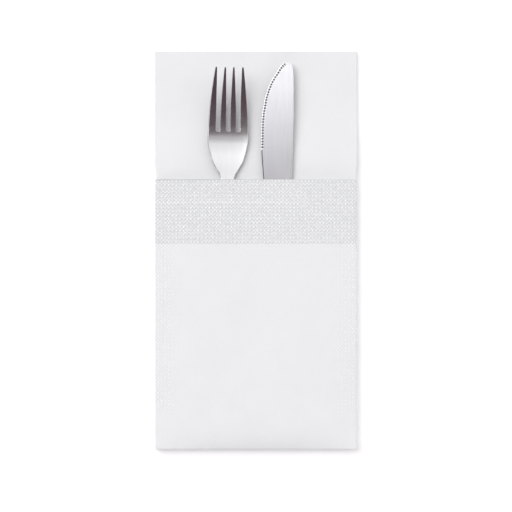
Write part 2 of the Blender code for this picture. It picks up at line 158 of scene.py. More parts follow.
@dataclass
class Wall:
    """A closed solid made from a middle surface and half of its thickness at each point.

    The face is middle + normal * above, the back is middle - normal * below, and a strip joins
    them along each side where the grid ends or where a cell was left out. Each of its marks is a
    number for every point of the face, kept as an attribute, and 0 on the back.
    """

    name: str
    middle: np.ndarray
    above: np.ndarray
    below: np.ndarray
    keep: np.ndarray | None = None
    marks: dict[str, np.ndarray] = field(default_factory=dict)

    def faces(self) -> np.ndarray:
        """Works out the corner numbers of every face: front, back and rim.

        Returns:
            An array of faces by 4, with the back's points after the front's.
        """
        columns, rows = self.middle.shape[:2]
        number = np.arange(columns * rows).reshape(columns, rows)
        keep = np.ones((columns - 1, rows - 1), bool) if self.keep is None else self.keep
        a, b = number[:-1, :-1], number[1:, :-1]
        c, d = number[1:, 1:], number[:-1, 1:]
        back = columns * rows
        front = np.stack((a, b, c, d), axis=-1)[keep]
        parts = [front, front[:, ::-1] + back]
        padded = np.pad(keep, 1)
        inner = padded[1:-1, 1:-1]
        sides = (
            (padded[1:-1, :-2], a, b),
            (padded[2:, 1:-1], b, c),
            (padded[1:-1, 2:], c, d),
            (padded[:-2, 1:-1], d, a),
        )
        for beside, start, end in sides:
            open_side = inner & ~beside
            first, last = start[open_side], end[open_side]
            parts.append(np.stack((first, first + back, last + back, last), axis=-1))
        return np.concatenate(parts)

    def build(self, sharp: float) -> bpy.types.Object:
        """Makes the object, with the points that no face uses left out.

        Args:
            sharp: Edges that turn by more than this many degrees are shaded as crisp ones.

        Returns:
            The new object, at the origin and linked to the scene.
        """
        normal = normals_of(self.middle)
        front = self.middle + normal * self.above[..., None]
        back = self.middle - normal * self.below[..., None]
        points = np.concatenate((front.reshape(-1, 3), back.reshape(-1, 3)))
        used, corners = np.unique(self.faces(), return_inverse=True)
        corners = corners.reshape(-1, 4)
        mesh = bpy.data.meshes.new(self.name)
        mesh.vertices.add(len(used))
        mesh.vertices.foreach_set("co", points[used].astype(np.float32).ravel())
        mesh.loops.add(corners.size)
        mesh.loops.foreach_set("vertex_index", corners.astype(np.int32).ravel())
        mesh.polygons.add(len(corners))
        mesh.polygons.foreach_set("loop_start", np.arange(0, corners.size, 4, dtype=np.int32))
        mesh.update(calc_edges=True)
        mesh.validate()
        for name, values in self.marks.items():
            both = np.concatenate((values.ravel(), np.zeros(values.size)))[used]
            mesh.attributes.new(name, "FLOAT", "POINT").data.foreach_set("value", both.astype(np.float32))
        mesh.shade_smooth()
        mesh.set_sharp_from_angle(angle=math.radians(sharp))
        return placed(self.name, mesh)


class Nodes:
    """A node tree, with short calls for the nodes that the finishes and the sky are made of."""

    def __init__(self, tree: bpy.types.NodeTree, space: Space) -> None:
        """Adds the coordinates, and the same as three axes."""
        self.tree = tree
        self.place = self.node("TexCoord", {}).outputs[space.value]
        self.axes = self.node("SeparateXYZ", {0: self.place}).outputs

    def node(self, kind: str, slots: dict, **options: str) -> bpy.types.Node:
        """Adds a node.

        Args:
            kind: The end of its type's name.
            slots: A number, or a socket that feeds it, for each input that is set.
            options: The node's own settings.

        Returns:
            The node.
        """
        made = self.tree.nodes.new("ShaderNode" + kind)
        for name, option in options.items():
            setattr(made, name, option)
        for slot, value in slots.items():
            if isinstance(value, bpy.types.NodeSocket):
                self.tree.links.new(value, made.inputs[slot])
            else:
                made.inputs[slot].default_value = value
        return made

    def math(self, operation: str, *values: object) -> bpy.types.NodeSocket:
        """Adds a Math node over numbers or sockets, one for each of its inputs."""
        return self.node("Math", dict(enumerate(values)), operation=operation).outputs[0]

    def product(self, *values: object) -> bpy.types.NodeSocket:
        """Multiplies two or more numbers or sockets."""
        return reduce(lambda first, second: self.math("MULTIPLY", first, second), values)

    def steps(self, value: bpy.types.NodeSocket, low: float, high: float) -> bpy.types.NodeSocket:
        """Eases a value from 0 at low to 1 at high; low may be the larger one."""
        ends = {"From Min": min(low, high), "From Max": max(low, high)}
        results = {"To Min": float(low > high), "To Max": float(low < high)}
        slots = {"Value": value, **ends, **results}
        return self.node("MapRange", slots, interpolation_type="SMOOTHSTEP").outputs[0]

    def spread(self, value: bpy.types.NodeSocket, low: float, high: float) -> bpy.types.NodeSocket:
        """Maps 0 to 1 onto low to high."""
        return self.math("MULTIPLY_ADD", value, high - low, low)

    def noise(
        self, scale: float, detail: float = 2.0, stretch: tuple = (1.0, 1.0, 1.0), bend: float = 0.0
    ) -> bpy.types.NodeSocket:
        """Adds a noise pattern from 0 to 1.

        Args:
            scale: Features in a metre.
            detail: Octaves.
            stretch: Scale along each axis, as a share.
            bend: Distortion.

        Returns:
            The pattern's socket.
        """
        place = self.node("Mapping", {"Vector": self.place, "Scale": stretch}).outputs[0]
        slots = {"Vector": place, "Scale": scale, "Detail": detail, "Distortion": bend}
        return self.node("TexNoise", slots).outputs["Fac"]

    def patches(self, given: Patches) -> bpy.types.NodeSocket:
        """Adds the noise that the patches describe."""
        eased = self.steps(self.noise(given.scale, given.detail), given.low, given.high)
        return self.spread(eased, given.least, given.most)

    def blend(
        self, share: bpy.types.NodeSocket, first: tuple | bpy.types.NodeSocket, second: tuple
    ) -> bpy.types.NodeSocket:
        """Mixes two colours: a share of 0 gives the first one, and 1 the second."""
        first = first if isinstance(first, bpy.types.NodeSocket) else (*first, 1.0)
        slots = {"Factor": share, 6: first, 7: (*second, 1.0)}
        return self.node("Mix", slots, data_type="RGBA").outputs[2]


class Shader(Nodes):
    """A material's node tree."""

    def __init__(self, name: str) -> None:
        """Makes an empty material with a Principled BSDF."""
        self.material = bpy.data.materials.new(name)
        self.material.use_nodes = True
        super().__init__(self.material.node_tree, Space.OBJECT)
        self.surface = self.tree.nodes["Principled BSDF"]

    def constant(self, socket: str, value: float | tuple) -> None:
        """Sets one of the surface's sockets to a value that is the same all over."""
        self.surface.inputs[socket].default_value = value

    def link(self, source: bpy.types.NodeSocket, socket: str) -> None:
        """Feeds one of the surface's sockets."""
        self.tree.links.new(source, self.surface.inputs[socket])

    def attribute(self, name: str) -> bpy.types.NodeSocket:
        """Reads one of the piece's own numbers, such as how deep in a groove a point is."""
        return self.node("Attribute", {}, attribute_name=name).outputs["Fac"]

    def relief(
        self, height: bpy.types.NodeSocket, depth: float, below: bpy.types.NodeSocket | None = None
    ) -> bpy.types.NodeSocket:
        """Turns a height from 0 to 1 into a normal.

        Args:
            height: The pattern.
            depth: Height of the relief in metres.
            below: The normal of a coarser relief that this one lies on.

        Returns:
            The normal's socket.
        """
        slots = {"Strength": 1.0, "Distance": depth, "Height": height}
        if below is not None:
            slots["Normal"] = below
        return self.node("Bump", slots).outputs[0]


@dataclass(frozen=True)
class TissuePaper:
    """White tissue: matt, faintly mottled, with crossed fibres, rows of embossed dots with painted
    highlights and shadows, and a painted shadow line under the flap's edge.
    """

    name: str = "white_tissue"
    light: tuple = (0.836, 0.844, 0.853)
    shade: tuple = (0.806, 0.817, 0.832)
    # colour of the pressed paper in the band, which also carries the painted shadow beside each dot
    pressed_and_shaded: tuple = (0.640, 0.652, 0.673)
    # colour of the painted highlight on the tops of the embossed dots
    dot_highlight: tuple = (0.960, 0.960, 0.960)
    # colour of the painted shadow line under the flap's free edge
    edge_shadow_tone: tuple = (0.34, 0.345, 0.38)
    fibres: tuple = (1600.0, 3.0, (1.0, 0.35, 1.0), 1.2)
    crossed: tuple = (1500.0, 3.0, (0.4, 1.0, 1.0), 1.0)
    clouds: tuple = (55.0, 3.0)
    tone_span: tuple = (0.35, 0.75)
    rough_span: tuple = (0.82, 0.98)
    specular: float = 0.25
    sheen: float = 0.08
    sheen_rough: float = 0.6
    edge_shadow_width: float = 0.55 * MM
    edge_shadow_strength: tuple = (0.2, 0.7)
    fibre_depth: float = 0.035 * MM
    cloud_depth: float = 0.10 * MM
    dot_depth: float = 0.07 * MM
    dot_power: float = 2.2
    uneven: Patches = Patches(560.0, 1.0, 0.36, 0.64, 0.30, 1.25)
    spots: Patches = Patches(610.0, 1.0, 0.40, 0.62, 0.15, 0.62)
    proud: float = 0.8
    between_power: float = 0.9
    between_tint: float = 0.55
    shadow_shift: tuple = (0.3, -0.09)
    shadow_power: float = 1.8
    shadow_tint: float = 0.62
    grain: Patches = Patches(1100.0, 2.0, 0.30, 0.70, -0.26, 0.34)
    tint_across: tuple = (1.04, 0.88)
    band_fade: float = 0.3 * MM
    mouth_fade: float = 0.2 * MM
    strip_depth: float = 0.060 * MM
    strip_tint: float = 0.22
    strip_from: float = 0.040
    strip_to: float = 0.058
    strip_end: float = -0.097
    strip_fade: float = 4.0 * MM

    def make(self, napkin: PouchNapkin) -> bpy.types.Material:
        """Builds the material.

        Args:
            napkin: The napkin, whose dots and band the pattern follows.

        Returns:
            The material.
        """
        shader = Shader(self.name)
        clouds = shader.noise(*self.clouds)
        both = shader.math("ADD", shader.noise(*self.fibres), shader.noise(*self.crossed))
        felt = shader.product(both, 0.5)
        tone = shader.math("MULTIPLY_ADD", felt, 0.6, shader.product(clouds, 0.5))
        colour = shader.blend(shader.steps(tone, *self.tone_span), self.shade, self.light)
        height, pressed_and_shaded = self.dots(shader, napkin)
        # pressed paper and painted shadow beside the embossed dots
        colour = shader.blend(pressed_and_shaded, colour, self.pressed_and_shaded)
        # painted highlight: the dots' tops are lightened by their height, as if lit
        colour = shader.blend(shader.math("MINIMUM", height, 1.0), colour, self.dot_highlight)
        # painted shadow under the flap's free edge, stronger on the left
        colour = shader.blend(self.painted_edge_shadow(shader, napkin), colour, self.edge_shadow_tone)
        shader.link(colour, "Base Color")
        shader.link(shader.spread(felt, *self.rough_span), "Roughness")
        shader.constant("Specular IOR Level", self.specular)
        shader.constant("Sheen Weight", self.sheen)
        shader.constant("Sheen Roughness", self.sheen_rough)
        soft = shader.relief(clouds, self.cloud_depth)
        dots = shader.relief(height, self.dot_depth, soft)
        shader.link(shader.relief(felt, self.fibre_depth, dots), "Normal")
        return shader.material

    def waves(
        self, shader: Shader, napkin: PouchNapkin, shift: tuple = (0.0, 0.0)
    ) -> list[bpy.types.NodeSocket]:
        """Adds two waves from 0 to 1 that turn once for each dot, a = cos(u)/2 + 1/2 and b, of v.

        Args:
            shader: The paper's node tree.
            napkin: The napkin, whose dots the waves follow.
            shift: How far the waves' crests lie beside the dots, across and along, in dots.

        Returns:
            The wave across and the wave along.
        """
        made = []
        starts = napkin.left_fold, napkin.mouth
        pitches = napkin.dot_pitch_across, napkin.dot_pitch_down
        for value, start, pitch, moved in zip(shader.axes, starts, pitches, shift):
            back = -2 * math.pi * (start / pitch + moved)
            turned = shader.math("MULTIPLY_ADD", value, 2 * math.pi / pitch, back)
            wave = shader.math("COSINE", shader.math("ADD", turned, math.pi))
            made.append(shader.spread(wave, 0.5, 1.0))
        return made

    def marked(self, shader: Shader, napkin: PouchNapkin) -> list[bpy.types.NodeSocket]:
        """Finds the band along the flap's edge, and the strip beside each fold below it.

        Args:
            shader: The paper's node tree.
            napkin: The napkin, whose band the dots lie in.

        Returns:
            The share of the band and of the strips.
        """
        across, along, _ = shader.axes
        band_end = napkin.mouth - napkin.band_height
        in_band = shader.product(
            shader.steps(along, band_end - self.band_fade, band_end + self.band_fade),
            shader.steps(along, napkin.mouth + self.mouth_fade, napkin.mouth - self.mouth_fade),
        )
        in_strip = shader.product(
            shader.steps(shader.math("ABSOLUTE", across), self.strip_from, self.strip_to),
            shader.steps(along, band_end + self.band_fade, band_end),
            shader.steps(along, self.strip_end - self.strip_fade, self.strip_end + self.strip_fade),
        )
        return [in_band, in_strip]

    def dots(
        self, shader: Shader, napkin: PouchNapkin
    ) -> tuple[bpy.types.NodeSocket, bpy.types.NodeSocket]:
        """Marks the embossed dots: n (a b)^p + m ((1 - a)(1 - b))^p, with slow noises n and m.

        The second term is the faint dots between the others, of which one row is stronger. The
        band along the flap's edge is marked in full, and a strip beside each fold faintly, where
        the dots of the layers below press through.

        Args:
            shader: The paper's node tree.
            napkin: The napkin, whose band the dots lie in.

        Returns:
            The dots' height, which also sets their painted highlight, and how far the paper beside them is
            darkened: pressed together, with a painted shadow beside each dot.
        """
        across, along, _ = shader.axes
        half = self.waves(shader, napkin)
        from_row = shader.math("SUBTRACT", along, napkin.mouth - napkin.proud_row * napkin.dot_pitch_down)
        in_row = shader.steps(shader.math("ABSOLUTE", from_row), 0.5 * napkin.dot_pitch_down, 0.0)
        to_left = shader.steps(across, 0.5 * napkin.right_fold, 0.0)
        row = shader.product(in_row, to_left)
        spots = shader.math("MULTIPLY_ADD", row, self.proud, shader.patches(self.spots))
        other = shader.product(*[shader.math("SUBTRACT", 1.0, value) for value in half])
        full = shader.math("POWER", shader.product(*half), self.dot_power)
        lattice = shader.product(full, shader.patches(self.uneven))
        lattice = shader.math("MULTIPLY_ADD", shader.math("POWER", other, self.dot_power), spots, lattice)
        in_band, in_strip = self.marked(shader, napkin)
        between = shader.math("SUBTRACT", 1.0, shader.math("POWER", lattice, self.between_power))
        # painted shadow: the lattice moved a little to the lower right darkens the paper beside each dot
        behind = shader.product(*self.waves(shader, napkin, self.shadow_shift))
        behind = shader.math("POWER", behind, self.shadow_power)
        # the gaps between the dots darken as pressed paper, and the painted shadow is added to them
        shadow = shader.product(between, self.between_tint)
        shadow = shader.math("MULTIPLY_ADD", behind, self.shadow_tint, shadow)
        shadow = shader.math("ADD", shadow, shader.patches(self.grain))
        faint = shader.math("MULTIPLY_ADD", in_strip, self.strip_tint, in_band)
        side = shader.steps(across, 0.5 * napkin.left_fold, napkin.right_fold)
        pressed_and_shaded = shader.product(shadow, faint, shader.spread(side, *self.tint_across))
        marked = shader.math("MULTIPLY_ADD", in_strip, self.strip_depth / self.dot_depth, in_band)
        return shader.product(lattice, marked), pressed_and_shaded

    def painted_edge_shadow(self, shader: Shader, napkin: PouchNapkin) -> bpy.types.NodeSocket:
        """Marks a painted shadow: a thin dark line just below the flap's free edge.

        Args:
            shader: The paper's node tree.
            napkin: The napkin, whose flap ends at the mouth.

        Returns:
            The line's strength, which falls from the left to the right.
        """
        across, along, _ = shader.axes
        side = shader.steps(across, 0.5 * napkin.right_fold, napkin.left_fold)
        return shader.product(
            shader.steps(along, napkin.mouth - self.edge_shadow_width, napkin.mouth - 0.3 * self.edge_shadow_width),
            shader.steps(along, napkin.mouth + 0.5 * self.edge_shadow_width, napkin.mouth),
            shader.spread(side, *self.edge_shadow_strength),
        )


@dataclass(frozen=True)
class CutlerySteel:
    """Stainless steel: brushed lines, handling marks, and duller grooves with a painted dark reflection.

    The piece's own attribute tells how deep in a groove, or in the ground strip by the edge, a point is; it
    sets the painted dark reflection and the rougher finish there.
    """

    name: str
    light: tuple
    shade: tuple
    # colour of the painted dark reflection in the teeth and the ground strip
    painted_dark_reflection: tuple = (0.055, 0.048, 0.055)
    brushing: tuple = (1.0, 0.02, 1.0)
    smooth: float = 0.13
    dull: float = 0.25
    line_depth: float = 0.0022 * MM
    lines: float = 3000.0
    line_span: tuple = (0.3, 0.7)
    clouds: tuple = (90.0, 3.0)
    marks: tuple = (420.0, 2.0, (1.0, 0.06, 1.0), 0.6)
    mark_span: tuple = (0.68, 0.76)
    mark_dull: float = 0.05
    groove_and_reflection: str | None = None
    groove_dull: float = 0.35

    def make(self) -> bpy.types.Material:
        """Builds the material.

        Returns:
            The material.
        """
        shader = Shader(self.name)
        lines = shader.noise(self.lines, 2.0, self.brushing)
        broad = shader.noise(self.lines / 4, 2.0, self.brushing)
        clouds = shader.noise(*self.clouds)
        marks = shader.steps(shader.noise(*self.marks), *self.mark_span)
        streak = shader.math("MULTIPLY_ADD", lines, 0.6, shader.product(broad, 0.4))
        colour = shader.blend(shader.steps(streak, *self.line_span), self.shade, self.light)
        worn = shader.math("MULTIPLY_ADD", clouds, 0.5, shader.product(streak, 0.5))
        rough = shader.spread(worn, self.smooth, self.dull)
        rough = shader.math("MULTIPLY_ADD", marks, self.mark_dull, rough)
        if self.groove_and_reflection:
            deep = shader.attribute(self.groove_and_reflection)
            # painted dark reflection where the attribute marks a groove or the ground strip
            colour = shader.blend(deep, colour, self.painted_dark_reflection)
            rough = shader.math("MULTIPLY_ADD", deep, self.groove_dull, rough)
        shader.link(colour, "Base Color")
        shader.link(rough, "Roughness")
        shader.constant("Metallic", 1.0)
        shader.link(shader.relief(streak, self.line_depth), "Normal")
        return shader.material


FORK_STEEL = CutlerySteel(
    "fork_brushed_steel", (0.690, 0.686, 0.697), (0.648, 0.645, 0.655), smooth=0.12, dull=0.22
)
KNIFE_STEEL = CutlerySteel(
    "knife_brushed_steel", (0.666, 0.668, 0.691), (0.622, 0.622, 0.645), groove_and_reflection=GROOVE_AND_REFLECTION
)


@dataclass
class PouchNapkin:
    """One sheet: its lower end is turned up as a flap, and the doubled sheet is folded in four."""

    name: str = "pouch_sheet"
    width: float = 0.1204
    height: float = 0.2378
    pocket: float = 0.1610
    ply: float = 0.00045
    gap: float = 0.0003
    outer_setback: float = 0.0006
    inner_setback: float = 0.0014
    settle: float = 0.045
    slack: float = 0.0006
    swell_height: float = 0.0
    swell_across: float = 2.6
    swell_down: float = 28.0
    band_height: float = 0.0383
    dots_across: int = 53
    dots_down: int = 17
    dot_height: float = 0.00018
    dot_power: float = 1.5
    dot_least: float = 0.65
    dot_more: float = 0.7
    drawn_out: float = 0.20
    proud_row: int = 6
    proud: float = 0.5
    lip_rise: float = 0.00010
    lip_reach: float = 0.0007
    head_spread: float = 0.00100
    spread_run: float = 0.012
    sag_waves: tuple = ((0.014, 43, 31, 0.8), (0.010, -71, 57, 2.1), (0.006, 139, 88, 4.0))
    cells_per_dot: int = 4
    sheet_size: tuple = (0.476, 0.399)

    def __post_init__(self) -> None:
        """Works out the places that the folds and the band share."""
        self.pitch = self.ply + self.gap
        self.head_top = 3 * self.pitch + self.ply
        self.pocket_floor = 6 * self.pitch + self.ply
        self.flap_underside = 7 * self.pitch
        self.bottom = -self.height / 2
        self.mouth = self.bottom + self.pocket
        self.left_fold = -self.width / 2 + 3.5 * self.pitch + self.ply / 2
        self.right_fold = self.width / 2 - 1.5 * self.pitch - self.ply / 2
        self.dot_pitch_across = (self.right_fold - self.left_fold) / self.dots_across
        self.dot_pitch_down = self.band_height / self.dots_down

    def cover(self, *tops: float) -> None:
        """Lets the flap swell until it clears the highest of the given tops."""
        self.swell_height = max(tops) + self.slack - self.flap_underside

    def floor_under(self, beyond: np.ndarray) -> np.ndarray:
        """Height of the paper under the cutlery, by the distance beyond the mouth."""
        return self.pocket_floor - (self.pocket_floor - self.head_top) * ease(beyond / self.settle)

    def columns(self) -> list[np.ndarray]:
        """Follows the sheet across its four panels and round the three folds between them.

        A panel is a straight run of x at one layer. A fold is a half circle about the fold's
        line: x = centre + reach cos(t), layer = middle + reach sin(t).

        Returns:
            For each column its x, its layer in the pocket and in the head, and the direction
            towards the flap's side, across and up.
        """
        outer_cut = self.width / 2 - self.outer_setback
        inner_cut = self.width / 2 - self.inner_setback
        pieces: list[tuple] = []

        def run(start: float, end: float, cells: int, low: float, high: float, side: float) -> None:
            """Goes straight across a panel; side is 1 where the flap's side is up."""
            across = np.linspace(start, end, cells + 1)
            same = np.ones_like(across)
            pieces.append((across, same * low, same * high, same * 0, same * side))

        def fold(
            centre: float, angles: np.ndarray, pocket: tuple, head: tuple, reach: float, side: int
        ) -> None:
            """Turns through a half circle; pocket and head are the middle layer and the reach up."""
            out, up = np.cos(angles), np.sin(angles)
            pieces.append((
                centre + reach * self.pitch * out,
                pocket[0] + pocket[1] * up,
                head[0] + head[1] * up,
                out * side * np.sign(reach),
                up * side,
            ))

        run(outer_cut, self.left_fold, 8, 1, 0, -1)
        fold(self.left_fold, half_turn(12), (3.5, 2.5), (1.5, 1.5), -2.5, 1)
        run(self.left_fold, self.right_fold, self.dots_across * self.cells_per_dot, 6, 3, 1)
        fold(self.right_fold, -half_turn(8), (5.5, 0.5), (2.5, 0.5), 0.5, 1)
        run(self.right_fold, self.left_fold, 8, 5, 2, -1)
        fold(self.left_fold, -half_turn(10), (3.5, 1.5), (1.5, 0.5), -1.5, -1)
        run(self.left_fold, inner_cut, 8, 2, 1, 1)
        joined = [pieces[0]] + [tuple(part[1:] for part in piece) for piece in pieces[1:]]
        return [np.concatenate(parts) for parts in zip(*joined)]

    def rows(self) -> tuple[np.ndarray, np.ndarray]:
        """Follows the sheet from the flap's edge down, round the bottom fold and up to the head.

        Returns:
            The y of each row, and how far it stands off towards the flap's side, in layers.
        """
        fold_y = self.bottom + self.pitch / 2 + self.ply / 2
        band_y = self.mouth - self.band_height
        band = np.linspace(self.mouth, band_y, self.dots_down * self.cells_per_dot + 1)
        below = band_y + (fold_y - band_y) * np.sin(np.linspace(0, math.pi / 2, 37)[1:])
        flap = np.concatenate((band, below))
        angles = half_turn(6)[1:-1]
        turn = fold_y - self.pitch / 2 * np.cos(angles)
        sheet = np.concatenate((
            np.linspace(fold_y, self.mouth, 9),
            self.mouth + self.settle * np.linspace(0, 1, 15)[1:],
            np.linspace(self.mouth + self.settle, self.height / 2, 16)[1:],
        ))
        rows = np.concatenate((flap, turn, sheet))
        off = np.concatenate((np.ones_like(flap), 0.5 - 0.5 * np.sin(angles), np.zeros_like(sheet)))
        return rows, off

    def swell(self, x: np.ndarray, y: np.ndarray) -> np.ndarray:
        """Height that the flap rises over the cutlery: H (1 - |x|^a)(1 - y^b), as shares.

        Args:
            x: Distance across.
            y: Distance along.

        Returns:
            The height at each point.
        """
        middle = (self.left_fold + self.right_fold) / 2
        side = np.clip(np.abs(x - middle) / (self.right_fold - middle), 0, 1)
        down = np.clip((self.mouth - y) / self.pocket, 0, 1)
        return self.swell_height * (1 - side**self.swell_across) * (1 - down**self.swell_down)

    def embossing(self, x: np.ndarray, y: np.ndarray) -> np.ndarray:
        """Height of the relief in the band: H n (a b)^p + k H (cos(u - v)/2 + 1/2), and the lip.

        a is cos(u)/2 + 1/2, b is cos(v)/2 + 1/2, and n makes the dots uneven with the sine of
        their row and column. The second term draws them out towards the lower right. The lip is
        a fall of exp(-d^2) from the flap's free edge, and one row of dots stands prouder.

        Args:
            x: Distance across.
            y: Distance along.

        Returns:
            The height at each point, 0 outside the band.
        """
        u = (x - self.left_fold) / self.dot_pitch_across * 2 * math.pi + math.pi
        v = (self.mouth - y) / self.dot_pitch_down * 2 * math.pi + math.pi
        column, row = np.floor(u / (2 * math.pi)), np.floor(v / (2 * math.pi))
        uneven = 0.5 + 0.5 * np.sin(column * 12.99 + row * 78.23 + 40 * np.sin(column * 3.7 + row))
        bump = (0.5 + 0.5 * np.cos(u)) * (0.5 + 0.5 * np.cos(v))
        drawn_out = 0.5 + 0.5 * np.cos(u - v)
        proud = self.proud * (row == self.proud_row) * np.clip(0.5 - x / self.width, 0, 1)
        band = y > self.mouth - self.band_height - 0.01 * MM
        lip = self.lip_rise * np.exp(-(((self.mouth - y) / self.lip_reach) ** 2))
        strength = self.dot_least + self.dot_more * uneven + proud
        height = bump**self.dot_power * strength + self.drawn_out * drawn_out
        return (self.dot_height * height + lip) * band

    def sag(self, x: np.ndarray, y: np.ndarray) -> np.ndarray:
        """Slow unevenness of soft paper, as a share of its height: three sine waves, added."""
        return sum(share * np.sin(a * x + b * y + start) for share, a, b, start in self.sag_waves)

    def build(self, finish: TissuePaper) -> bpy.types.Object:
        """Folds the sheet and dresses it.

        Args:
            finish: The paper.

        Returns:
            The napkin's object.
        """
        across, pocket_layer, head_layer, side_x, side_z = self.columns()
        rows, off = self.rows()
        settled = ease((rows - self.mouth) / self.settle) * (off == 0)
        layer = pocket_layer[:, None] * (1 - settled) + head_layer[:, None] * settled
        x = across[:, None] + side_x[:, None] * off * self.pitch
        widened = ease((rows - self.mouth) / self.spread_run) * (off == 0)
        x = x * (1 + widened * self.head_spread / self.right_fold)
        z = (layer + side_z[:, None] * off) * self.pitch
        y = np.broadcast_to(rows, x.shape).copy()
        front = (pocket_layer == 6)[:, None] & (off > 0.99)
        z = z + np.where(front, self.swell(x, y), 0.0)
        z = z * (1 + self.sag(x, y)) + self.ply / 2
        z = z + np.where(front, self.embossing(x, y), 0.0)
        middle = np.stack((x, y, z), axis=2)
        half = np.full(x.shape, self.ply / 2)
        made = Wall(self.name, middle, half, half).build(sharp=40)
        made.data.materials.append(finish.make(self))
        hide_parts("napkin")
        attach(made, "root")
        return made


